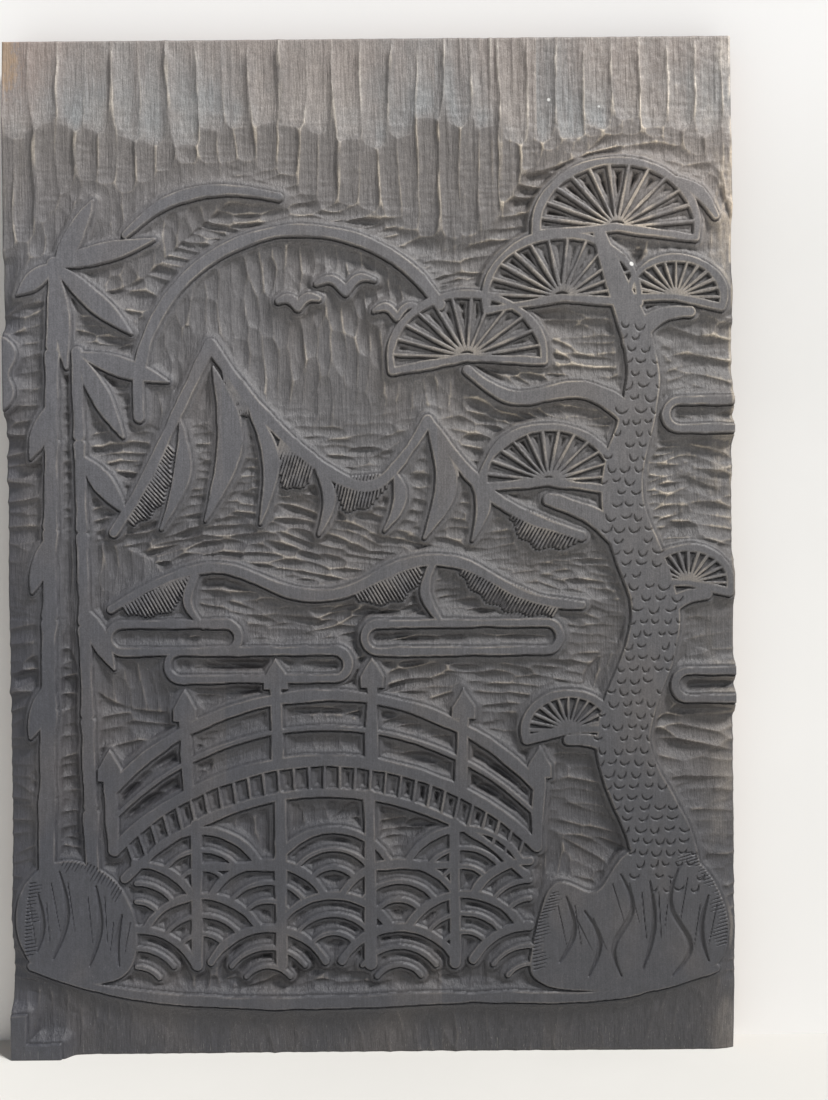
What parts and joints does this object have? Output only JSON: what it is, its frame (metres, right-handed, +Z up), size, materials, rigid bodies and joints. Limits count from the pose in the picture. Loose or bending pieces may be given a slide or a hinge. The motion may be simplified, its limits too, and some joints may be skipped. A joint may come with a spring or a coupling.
{
  "type": "woodcut printing block",
  "caption": "Upright wooden relief printing block: edge-glued staves held in line by pins, raised line drawing, gouged cleared bands and a raised paper corner stop.",
  "frame": {"origin": "middle of the foot edge that the block stands on, halfway between the printing plane and the back", "axes": "+Z up the face along the grain, +X to the viewer's right across the staves, the printing plane faces -Y and the plain back faces +Y"},
  "size_m": [0.3, 0.022, 0.42],
  "materials": {
    "inked_wood": "fine-grained hardwood stained black by ink, semi-matt on the printing plane and matt in the cleared wood",
    "bamboo_pin": "plain split bamboo, hidden inside the joints"
  },
  "bodies": {
    "root": {"left_outer_stave": "inked_wood", "left_inner_stave": "inked_wood", "right_inner_stave": "inked_wood", "right_outer_stave": "inked_wood", "left_joint_pins": "bamboo_pin", "middle_joint_pins": "bamboo_pin", "right_joint_pins": "bamboo_pin"}
  },
  "joints": []
}
